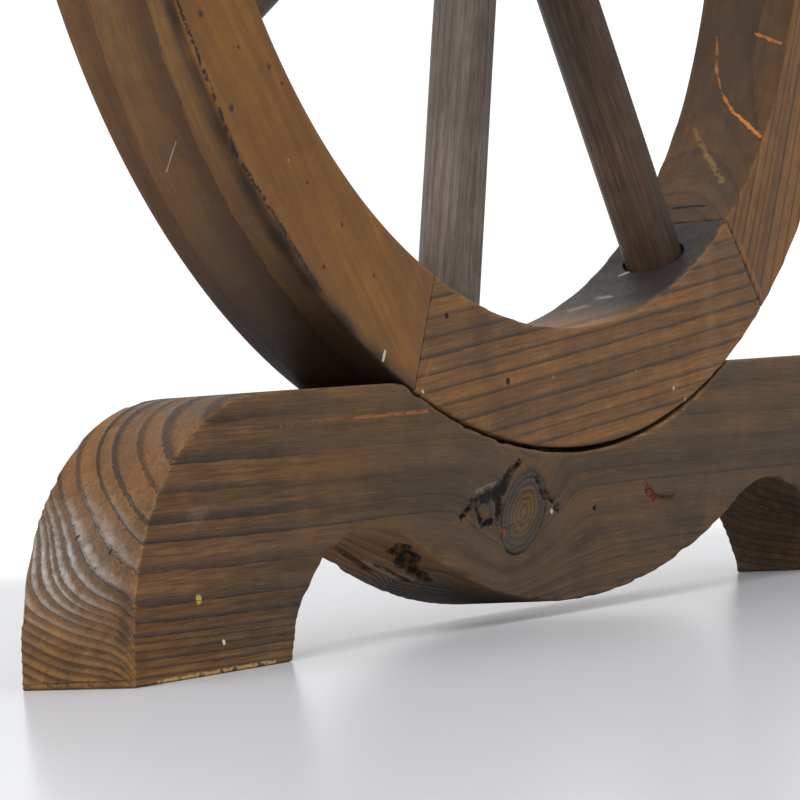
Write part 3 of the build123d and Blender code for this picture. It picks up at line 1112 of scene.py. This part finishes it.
# %% Felloe logs and looks
FELLOE_LOOK = recipe(
    early="#6e4e30",
    early_warm="#7e562d",
    early_dark="#553f29",
    late="#393028",
    late_start=0.72,
    ring_spread=0.3,
    saw=0.05,
    ridge=0.00035,
    sparks=0.3,
    bands=0.6,
    hair=0.2,
    fibre=0.14,
)
BOTTOM_LOOK = {**FELLOE_LOOK, "grey": "#2c2a2a", "late_start": 0.66}
SMOOTH_LOOK = recipe(
    early="#744c22",
    early_warm="#7f5621",
    early_dark="#603f1e",
    late="#382419",
    late_share=0.7,
    late_start=0.3,
    ring_spread=0.3,
    ragged=0.1,
    calmed=0.0,
    bands=0.6,
    hair=0.08,
    fibre=0.1,
    grit=0.0,
    saw=0.035,
    sparks=0.1,
    ridge=0.0001,
    hair_height=0.00005,
    rough=0.45,
    rub=0.25,
    mottle=0.09,
)
EVEN_RINGS = [*range(48, 98, 7), 104, 111, 118, 126, 134, 138, 144, *range(151, 215, 7)]
BAND_RINGS = (97, 124, 151, 177, 205, 230)
# How far out from its pith a felloe's log is drawn, in millimetres.
LOG_REACH = 600
FELLOE_LOGS = {
    1: felloe_log(1, 6, 120, 10, EVEN_RINGS, 11),
    2: felloe_log(2, 62, 100, 10, years(5.0, 12, LOG_REACH), 12, wander=2.2),
    3: felloe_log(3, 123, 50, 50, years(6.0, 13, LOG_REACH), 13),
    4: felloe_log(4, 182, 70, -60, years(5.5, 14, LOG_REACH), 14),
    5: felloe_log(5, 240, 80, 40, years(5.0, 15, LOG_REACH), 15),
    6: felloe_log(6, -56, 10, 160, BAND_RINGS, 16, tilt=0.03, wander=2.0),
}
SPECK = {"ragged": 0.7, "soft": 0.6, "share": 0.85}
STAIN = {"share": 0.25, "soft": 0.9}
SCUFF = {"ragged": 1.2, "share": 0.5, "broken": 0.44}
CHAR = {"ragged": 1.5, "broken": 0.44}
FELLOE_MARKS = {
    1: marks_mm(
        ("#120d0b", 1.1, on_wheel(276.7, -101.7, FRONT), None, PIT),
        ("#120d0b", 0.9, on_wheel(262.8, -112.3, FRONT), None, PIT),
        ("#b07838", 0.7, on_wheel(270.9, -94.2, FRONT), None, SPECK),
        ("#b07838", 0.6, on_wheel(274.8, -79.4, FRONT), None, SPECK),
        ("#b9b1a2", 0.9, on_wheel(290.8, -73.4, FRONT), None, SPECK),
        ("#b9b1a2", 0.7, on_wheel(299, -71.9, FRONT), None, SPECK),
        ("#b9b1a2", 0.8, on_wheel(297.9, -114, FRONT), None, SPECK),
        ("#a06a30", 1.4, on_wheel(284, -113.6, FRONT), on_wheel(291, -113.9, FRONT), FAINT),
        ("#3a2c22", 7.0, on_wheel(252, -107, FRONT), on_wheel(299, -102.5, FRONT), STAIN),
        ("#8b7b68", 5.0, on_wheel(258, -62, FRONT), on_wheel(297, -66, FRONT), {**STAIN, "share": 0.12}),
        ("#a08a6c", 1.0, on_wheel(250, -65.4, 9.5), on_wheel(250, -64.7, 6.5), CLEAN),
        ("#9b9a94", 1.9, on_wheel(250, -71.3, 7), on_wheel(250, -71.4, 2), {"share": 0.5, "soft": 0.7}),
        ("#8f8c85", 1.9, on_wheel(250, -75, 13), on_wheel(250, -73.9, 8), {"share": 0.4, "soft": 0.8}),
    ),
    2: marks_mm(
        ("#120d0b", 0.7, on_wheel(250, -52.3, -10), on_wheel(250, -52.3, 7), PIT),
        ("#8a6a38", 1.6, on_wheel(250, -48.4, -12), on_wheel(250, -44, 2), {**SCUFF, "broken": 0.42}),
        ("#8a6a38", 1.4, on_wheel(250, -44, 2), on_wheel(250, -40, 14), {**SCUFF, "share": 0.4}),
        ("#b06a2a", 0.9, on_wheel(250, -42, -23), on_wheel(250, -39.8, -13), {"ragged": 1.0}),
        ("#b06a2a", 0.8, on_wheel(250, -39.8, -13), on_wheel(250, -38, -4), {"ragged": 1.0}),
        ("#a86428", 0.6, on_wheel(250, -38, -4), on_wheel(250, -35.2, 5), {"ragged": 1.0, "share": 0.8}),
        ("#a86428", 0.5, on_wheel(250, -35.2, 5), on_wheel(250, -31.8, 11), {"ragged": 1.2, "share": 0.7}),
        ("#a86428", 0.5, on_wheel(250, -31.8, 11), on_wheel(250, -27.8, 14), {"ragged": 1.2, "share": 0.5}),
        ("#a86428", 0.7, on_wheel(250, -29.6, -21), on_wheel(250, -27.9, -6), {"ragged": 1.0, "share": 0.8}),
        ("#a06a30", 1.2, on_wheel(268, -54.4, FRONT), on_wheel(296, -54.3, FRONT), FAINT),
    ),
    6: marks_mm(
        ("#1a1412", 1.3, on_wheel(285, -152.9, FRONT), None, SPECK),
        ("#1a1412", 1.5, on_wheel(289.5, -145.5, FRONT), None, SPECK),
        ("#1a1412", 1.4, on_wheel(258.7, -145.1, FRONT), None, SPECK),
        ("#1a1412", 0.7, on_wheel(256, -143, FRONT), None, SPECK),
        ("#1a1412", 0.8, on_wheel(268, -129.5, FRONT), None, SPECK),
        ("#1a1412", 0.9, on_wheel(289.5, -129.7, FRONT), None, SPECK),
        ("#1a1412", 0.7, on_wheel(271, -135.2, FRONT), None, SPECK),
        ("#1a1412", 0.7, on_wheel(272, -123.7, FRONT), None, SPECK),
        ("#1a1412", 0.7, on_wheel(271, -148.6, FRONT), None, SPECK),
        ("#b07030", 0.7, on_wheel(273.5, -138.1, FRONT), None, SPECK),
        ("#d0c8b4", 0.7, on_wheel(295, -119.8, FRONT), on_wheel(298.5, -119.8, FRONT), SPECK),
        ("#241512", 1.3, on_wheel(298, -158, FRONT), on_wheel(298.5, -143, FRONT), {**CHAR, "ragged": 1.3}),
        ("#241512", 1.2, on_wheel(298.5, -143, FRONT), on_wheel(298.5, -129, FRONT), CHAR),
        ("#a8a49a", 0.25, on_wheel(300, -144.5, -3), on_wheel(300, -142, 8), {"ragged": 0.6, "share": 0.4}),
    ),
}
print("felloe marks", {n: len(rows) for n, rows in FELLOE_MARKS.items()})

# %% Making the felloes
for number in range(1, FELLOE_COUNT + 1):
    log = FELLOE_LOGS[number]
    smooth = number == 6
    piece = make_felloe(number, log, 0.08 if smooth else 0.25)
    points = points_of(piece.data)
    facing = normals_of(piece.data)
    middle = middle_of(number)
    fields = rim_fields(points, middle)
    angle = angles_of(points)
    outwards = (facing * (points - WHEEL_CENTRE)).sum(axis=1) / radii_of(points)
    outer, inner = ease(0.3, 0.8, outwards), ease(0.3, 0.8, -outwards)
    if smooth:
        fields["calm"] = 1 - outer
        tread_side = np.abs(points[:, 1] - RIM_LOW[1])
        face_side = 1.8 * np.abs(radii_of(points) - WHEEL_RADIUS)
        width = np.interp(angle, (-165, -150, -135, -122), (4 * MM, 6 * MM, 9 * MM, 12 * MM))
        burnt = 1 - ease(0.25, 1.0, np.hypot(tread_side, face_side) / width)
        burnt = burnt * (0.75 + 0.25 * sway(points, 0.018, 71)) * ease(-172, -160, angle)
        # Painted shade on the tread where it runs down towards the foot.
        shaded = 0.85 * outer * ease(-140, -122, angle)
        fields["dark"] = np.maximum(shaded, 0.9 * np.clip(burnt, 0, 1))
        fields["grey"] = 0.45 * outer
    if number == 1:
        x, z = polar(RIM_INNER, -62)
        hollow = np.minimum(1.6 * within(points, (x, 0, z), (0.11, 0.11, 0.11)), 1)
        # Painted shade on the inner face round the foot of the second spoke.
        fields["dark"] = 0.45 * inner * within(points, (x, 0, z), (0.05, 0.06, 0.06))
        fields["grey"] = 0.95 * inner * hollow
        fields["calm"] = inner * hollow
        fields["warm"] = 0.5 * inner * (1 - hollow)
    if number == 2:
        fields["dark"] = 0.62 * inner
        fields["calm"] = 0.75 * inner
    look = {1: BOTTOM_LOOK, 6: SMOOTH_LOOK}.get(number, FELLOE_LOOK)
    material = brushed_softwood(f"brushed softwood, felloe {number}", look, FELLOE_MARKS.get(number, ()))
    describe(piece, log, rim_cut_place(points, middle), **fields)
    settle_in(piece, f"felloe_{number}", "wheel", material)

# %% [markdown]
# ## The spokes
# Plain 26 mm dowels of the same softwood, with a small chamfer at each end, stained darker and greyer
# than the rim. A dowel is turned without regard to the rings, so they run along it as long streaks
# that drift round it.

# %% Making the spokes
SPOKE_LOOK = recipe(
    early="#493a30",
    early_warm="#533f2f",
    early_dark="#352a23",
    late="#29221e",
    late_start=0.4,
    ragged=0.35,
    hair=0.25,
    fibre=0.13,
    bands=0.5,
    ridge=0.00015,
    sparks=0.35,
    rough=0.5,
    late_share=0.25,
)
GREY_SPOKE_LOOK = {**SPOKE_LOOK, "early": "#635850", "early_warm": "#6a5d53", "early_dark": "#4d423b"}
SPOKE_STEPS, SPOKE_RINGS = 64, 170


def spoke_line(number):
    """A spoke's direction, as x, y, z."""
    turn = math.radians(spoke_angle(number))
    return np.array([math.cos(turn), 0, math.sin(turn)])


def spoke_log(number):
    """The dowel's log, whose pith lies a little outside it."""
    draw = np.random.default_rng(60 + number)
    heading = spoke_line(number)
    across = np.cross(heading, (0, 1, 0))
    lean = draw.uniform(-0.02, 0.02, 2)
    side = draw.uniform(0, 2 * math.pi)
    aside = (across * math.cos(side) + np.array([0, 1, 0]) * math.sin(side)) * draw.uniform(20, 45) * MM
    return {
        "grain": heading + across * lean[0] + np.array([0, lean[1], 0]),
        "pith": WHEEL_CENTRE + aside,
        "edges": years(3.0 * MM, 80 + number),
        "wander": 1.5 * MM,
        "seed": 90 + number,
    }


def make_spoke(number):
    """A round bar with chamfered ends and a trace of its rings."""
    start, end = SPOKE_ENDS
    chamfer = SPOKE_END_CHAMFER
    along = np.concatenate([[start], np.linspace(start + chamfer, end - chamfer, SPOKE_RINGS), [end]])
    radius = np.full(len(along), SPOKE_RADIUS)
    radius[0] = radius[-1] = SPOKE_RADIUS - chamfer
    turn = np.linspace(0, 2 * math.pi, SPOKE_STEPS, endpoint=False)
    heading = spoke_line(number)
    across = np.cross(heading, (0, 1, 0))
    ring = np.outer(np.cos(turn), across) + np.outer(np.sin(turn), (0, 1, 0))
    points = WHEEL_CENTRE + along[:, None, None] * heading + radius[:, None, None] * ring[None]
    faces = bar_faces(*points.shape[:2])
    piece = solid(f"dowel_spoke_{number}", points.reshape(-1, 3), faces)
    log = spoke_log(number)
    count = in_log(points_of(piece.data), log)[1]
    sink(piece, 0.15 * MM * (1 - ridge(count)))
    return piece, log


for number in range(1, SPOKE_COUNT + 1):
    piece, log = make_spoke(number)
    points = points_of(piece.data)
    from_axle = (points - WHEEL_CENTRE) @ spoke_line(number)
    near_rim = ease(RIM_INNER - 45 * MM, RIM_INNER, from_axle)
    near_hub = 1 - ease(130 * MM, 200 * MM, from_axle)
    fields = {
        "worn": 1 - ease(0, 3 * MM, SPOKE_ENDS[1] - from_axle),
        # Painted shade: darker towards the rim and the hub, where the spoke meets them.
        "dark": 0.35 * near_rim + 0.15 * near_hub,
    }
    marks = ()
    look = SPOKE_LOOK
    if number == 1:
        look = GREY_SPOKE_LOOK
        marks = marks_mm(
            ("#c9c8c4", 1.2, (-71, -9.5, 178), None, {"ragged": 0.4}),
            # Painted sheen: a pale soft patch on the middle of the spoke's front.
            ("#9a958c", 9.0, (-52, -12, 128), None, {"share": 0.25, "soft": 0.9, "ragged": 0.6}),
        )
    describe(piece, log, points, **fields)
    material = brushed_softwood(f"stained dowel {number}", look, marks)
    settle_in(piece, f"spoke_{number}", "wheel", material)

# %% [markdown]
# ## The hub
# Turned from one block with its pith near the axle, so both faces show whole rings and the drum shows
# long grain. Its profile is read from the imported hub, along a line that passes between two spokes. The
# turner's tool leaves fine rings on it, and the brush has hardly touched it.

# %% Making the hub
HUB_LOOK = recipe(
    early="#5c4530",
    early_warm="#6b4c2e",
    late="#352b26",
    hair=0.15,
    ridge=0.0003,
    rough=0.48,
    saw=0.04,
)
HUB_LOG = {
    "grain": (0, 1, 0),
    "side": (1, 0, 0),
    "pith": WHEEL_CENTRE + np.array([11, 0, -8]) * MM,
    "edges": years(4.0 * MM, 31),
    "wander": 1.2 * MM,
    "seed": 31,
}
HUB_STEPS = 240


def profile_of(node, low, high, steps):
    """A turned node's (radius, y) profile, outside from front to back and then its bore."""
    tree = BVHTree.FromObject(frame["nodes"][node], bpy.context.evaluated_depsgraph_get())
    turn = math.radians(LOWEST_SPOKE_ANGLE - SPOKE_PITCH / 2)
    out = Vector((math.cos(turn), 0, math.sin(turn)))
    centre = Vector(WHEEL_CENTRE)
    outer, inner = [], []
    for y in np.linspace(low + 0.02 * MM, high - 0.02 * MM, steps):
        middle = centre + Vector((0, y, 0))
        outer.append(((tree.ray_cast(middle + out, -out)[0] - middle).length, y))
        inner.append(((tree.ray_cast(middle, out)[0] - middle).length, y))
    return outer, inner[::-1]


def make_hub():
    """The hub as a solid turned from its profile, with faint tool rings, bored for the spokes."""
    outer, inner = profile_of("hub", HUB_LOW[1], HUB_HIGH[1], 110)
    outer[0], outer[-1] = (outer[0][0], HUB_LOW[1]), (outer[-1][0], HUB_HIGH[1])
    inner[0], inner[-1] = (inner[0][0], HUB_HIGH[1]), (inner[-1][0], HUB_LOW[1])
    face = np.linspace(0, 1, 24)[1:-1, None]
    front = np.array(inner[-1]) + face * (np.array(outer[0]) - np.array(inner[-1]))
    back = np.array(outer[-1]) + face * (np.array(inner[0]) - np.array(outer[-1]))
    profile = np.vstack([outer, back, inner, front])
    points, faces = turning(profile, WHEEL_CENTRE, HUB_STEPS)
    piece = solid("turned_hub", points, faces)
    points = points_of(piece.data)
    in_bore = radii_of(points) < inner[0][0] + 0.5 * MM
    relief = 0.3 * MM * (1 - ridge(in_log(points, HUB_LOG)[1]))
    sink(piece, np.where(in_bore, 0, relief))
    for n in range(1, SPOKE_COUNT + 1):
        heading = spoke_line(n)
        start, end = WHEEL_CENTRE + heading * SPOKE_ENDS[0], WHEEL_CENTRE + heading * 90 * MM
        bore(piece, start, end, SPOKE_RADIUS + HUB_HOLE_SLACK)
    return piece


hub = make_hub()
points = points_of(hub.data)
tool_place = np.column_stack([radii_of(points) + points[:, 1], points[:, 0] * 0, points[:, 2] * 0])
describe(hub, HUB_LOG, tool_place, worn=ease(0.066, 0.070, radii_of(points)) * 0.5)
settle_in(hub, "hub", "wheel", brushed_softwood("turned softwood, hub", HUB_LOOK))


# %% [markdown]
# ## The metal
# The bushes are turned bearing bronze, gone dull brown. The axle is drawn tube with lines along it,
# the washers are zinc-plated, and the collars are turned and lightly oiled. Their shapes are right as
# packed, so only their surfaces change. Tool lines are drawn 0.3 mm apart, coarser than a real turned
# finish, so that they don't shimmer.

# %% Metal finishes
SPOT_SIZE = 6


def turned_metal(name, colour, stain, rough, lines_mm, along=False):
    """Metal with tool lines round the axle, or along it, a few stains and a little wear."""
    material = bpy.data.materials.new(name)
    tree = blank(material)
    position = put(tree, "TexCoord", gives="Object")
    offset = put(tree, "VectorMath", position, tuple(WHEEL_CENTRE), operation="SUBTRACT")
    x, y, z = put(tree, "SeparateXYZ", {"Vector": offset}).node.outputs
    flat = put(tree, "VectorMath", offset, (1.0, 0.0, 1.0), operation="MULTIPLY")
    out = put(tree, "VectorMath", flat, operation="LENGTH", gives="Value")
    turn = put(tree, "Math", x, z, operation="ARCTAN2")
    across = put(tree, "Math", y, out, operation="ADD")
    if along:
        round_tube = put(tree, "Math", turn, 0.012, operation="MULTIPLY")
        place, length = put(tree, "CombineXYZ", {"X": round_tube, "Y": y}), 40
    else:
        round_disc = put(tree, "Math", turn, 0.01, operation="MULTIPLY")
        place, length = put(tree, "CombineXYZ", {"X": across, "Y": round_disc}), 20
    lines = figured(tree, place, lines_mm, length, 2, 0.5)
    spots = figured(tree, position, SPOT_SIZE, SPOT_SIZE, 4, 0.6)
    shade = put(tree, "MapRange", lines, 0.3, 0.7, 0.85, 1.12, **SMOOTH)
    base = put(tree, "VectorMath", {0: linear(colour)[:3], "Scale": shade}, operation="SCALE")
    base = lay(tree, base, (put(tree, "MapRange", spots, 0.5, 0.68, 0.0, 0.8, **SMOOTH), stain))
    gloss = put(tree, "MapRange", spots, 0.4, 0.7, rough, rough + 0.22, **SMOOTH)
    depth = put(tree, "Math", lines, 0.00004, operation="MULTIPLY")
    bump = put(tree, "Bump", {"Height": depth, "Distance": 1.0})
    feeds = {"Base Color": base, "Metallic": 1.0, "Roughness": gloss, "Normal": bump}
    put(tree, "OutputMaterial", {"Surface": put(tree, "BsdfPrincipled", feeds)})
    return material


BRONZE = turned_metal("turned bearing bronze", "#a8834c", "#5c4426", 0.34, 0.3)
COLLAR_STEEL = turned_metal("turned oiled steel", "#8f9092", "#57504a", 0.28, 0.3)
ZINC = turned_metal("zinc-plated steel", "#b9bcbb", "#8c8a7c", 0.38, 0.5)
METALS = {
    "bush_front": BRONZE,
    "bush_back": BRONZE,
    "axle_tube": turned_metal("drawn steel tube", "#a3a4a6", "#6c625a", 0.32, 0.3, along=True),
    "collar_front": COLLAR_STEEL,
    "collar_back": COLLAR_STEEL,
    "set_screws": turned_metal("black-oxide steel", "#2c2d2f", "#1d1a18", 0.42, 0.4),
    "washer_front": ZINC,
    "washer_back": ZINC,
}


def refinish(node, material):
    """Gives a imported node's mesh its finish."""
    packed = frame["nodes"][node]
    for slot in packed.material_slots:
        slot.material = material
    if not packed.material_slots:
        packed.data.materials.append(material)


for node, material in METALS.items():
    refinish(node, material)
print("metal nodes", sorted(METALS))


# %% [markdown]
# ## The hidden dowels
# Two beech dowels hold each pair of felloes together, and are only seen if a joint is opened. Beech is
# pale and even, with short dark flecks, so two noises over one flat colour are enough.

# %% Beech dowels
def plain_beech():
    """Dry beech: pale and even, with fine flecks."""
    material = bpy.data.materials.new("plain dry beech")
    tree = blank(material)
    position = put(tree, "TexCoord", gives="Object")
    flecks = figured(tree, position, 1.2, 0.4, 3, 0.6)
    cloud = figured(tree, position, 12, 5, 2, 0.5)
    cloudy = put(tree, "MapRange", cloud, 0.4, 0.6, **SMOOTH)
    flecked = put(tree, "MapRange", flecks, 0.55, 0.7, 0.0, 0.6, **SMOOTH)
    base = lay(tree, "#c79a68", (cloudy, "#b8864f"), (flecked, "#8a5f36"))
    depth = put(tree, "Math", flecks, 0.0001, operation="MULTIPLY")
    bump = put(tree, "Bump", {"Height": depth, "Distance": 1.0})
    shader = put(tree, "BsdfPrincipled", {"Base Color": base, "Roughness": 0.7, "Normal": bump})
    put(tree, "OutputMaterial", {"Surface": shader})
    return material


refinish("felloe_dowels", plain_beech())
print("dowels refinished")

# %% [markdown]
# ## The floor, the light and the camera
# A pale, slightly glossy floor that fades into a white surround, and a surround that is brightest
# behind the wheel and to its left, as a light tent lit from that side is. Past its fade the floor
# glows much as the tent does behind it, so its edge doesn't show from the front. The camera stands
# low and far off with a long lens.

# %% The tent's light
FLOOR_COLOUR = "#c1c2c6"
FLOOR_RADIUS = 1.6
FADE_CENTRE = (-0.25, -0.2, 0.0)
FADE_START, FADE_END = 0.9, 1.3
TENT_GLOW = 0.5
# Where the tent is brighter: the direction, the cosines between which that rises, and how much.
LOBES = (
    ("behind", (0.84, 0.54, 0.0), 0.3, 0.9, 0.6),
    ("left", (-0.95, 0.1, 0.35), 0.1, 0.95, 1.0),
    ("above", (-0.2, -0.3, 1.0), 0.2, 1.0, 0.5),
)


def tent_light(tree, heading):
    """How bright the tent is in a direction: most to the wheel's left, then behind it and above."""
    glow = {}
    for name, direction, start, stop, strength in LOBES:
        towards = tuple(unit(direction))
        facing = put(tree, "VectorMath", heading, towards, operation="DOT_PRODUCT", gives="Value")
        glow[name] = put(tree, "MapRange", facing, start, stop, 0.0, strength, **SMOOTH)
    sides = put(tree, "Math", glow["behind"], glow["left"], operation="ADD")
    above = put(tree, "Math", glow["above"], TENT_GLOW, operation="ADD")
    return put(tree, "Math", sides, above, operation="ADD")


print("brighter lobes", [lobe[0] for lobe in LOBES])


# %% The floor
def make_floor():
    """A pale disc that turns into the tent's own light towards its edge."""
    mesh = bpy.data.meshes.new("floor")
    shape = bmesh.new()
    bmesh.ops.create_circle(shape, cap_ends=True, segments=128, radius=FLOOR_RADIUS)
    shape.to_mesh(mesh)
    shape.free()
    floor = show("floor", mesh)
    material = bpy.data.materials.new("pale satin studio floor")
    tree = blank(material)
    position = put(tree, "TexCoord", gives="Object")
    away = put(tree, "VectorMath", position, FADE_CENTRE, operation="SUBTRACT")
    away = put(tree, "VectorMath", away, operation="LENGTH", gives="Value")
    feeds = {"Base Color": FLOOR_COLOUR, "Roughness": 0.2, "IOR": 1.45, "Specular IOR Level": 0.12}
    satin = put(tree, "BsdfPrincipled", feeds)
    outwards = put(tree, "VectorMath", position, operation="NORMALIZE")
    glow = put(tree, "Emission", {"Color": (1, 1, 1, 1), "Strength": tent_light(tree, outwards)})
    matt = put(tree, "BsdfDiffuse", {"Color": FLOOR_COLOUR})
    surface = put(tree, "MixShader", 0.3, satin, matt)
    faded = put(tree, "MapRange", away, FADE_START, FADE_END, **SMOOTH)
    put(tree, "OutputMaterial", {"Surface": put(tree, "MixShader", faded, surface, glow)})
    mesh.materials.append(material)


make_floor()
print("floor radius", FLOOR_RADIUS)


# %% The surround
def make_surround():
    """The tent as a surround: white light, brightest to the wheel's left and behind it."""
    world = bpy.data.worlds.new("studio tent")
    tree = blank(world)
    heading = put(tree, "TexCoord", gives="Generated")
    back = put(tree, "Background", {"Color": (1, 1, 1, 1), "Strength": tent_light(tree, heading)})
    put(tree, "OutputWorld", {"Surface": back})
    bpy.context.scene.world = world
    bpy.context.scene.view_settings.view_transform = "Standard"


def soft_light(name, place, size, power):
    """A square soft box aimed at the foot of the wheel."""
    data = bpy.data.lights.new(name, "AREA")
    data.size = size
    data.energy = power
    lamp = show(name, data)
    lamp.location = place
    lamp.rotation_euler = (Vector((0, 0, 0.15)) - Vector(place)).to_track_quat("-Z", "Y").to_euler()


make_surround()
soft_light("left soft box", (-1.7, -0.5, 1.2), 1.0, 14)
print("surround and soft box set")

# %% The camera
CAMERA_PLACE = (-1.42998, -0.84687, 0.09771)
CAMERA_YAW, CAMERA_PITCH, CAMERA_ROLL = 57.531, 0.172, -4.034
LENS = 178.15


def make_camera():
    """A long lens that stands low, turned by yaw from +Y towards +X, then pitch, then roll."""
    yaw, pitch, roll = (math.radians(v) for v in (CAMERA_YAW, CAMERA_PITCH, CAMERA_ROLL))
    ahead = Vector((math.sin(yaw) * math.cos(pitch), math.cos(yaw) * math.cos(pitch), -math.sin(pitch)))
    right = Vector((math.cos(yaw), -math.sin(yaw), 0))
    up = right.cross(ahead)
    level = Matrix((right, up, -ahead)).transposed().to_4x4()
    data = bpy.data.cameras.new("camera")
    data.lens = LENS
    data.sensor_width = 36
    camera = show("camera", data)
    camera.matrix_world = Matrix.Translation(Vector(CAMERA_PLACE)) @ level @ Matrix.Rotation(roll, 4, "Z")
    bpy.context.scene.camera = camera


make_camera()
print("camera set")

# %% [markdown]
# ## The end
# The finished pieces must stay inside the imported model's box.

# %% The end
print("the end")
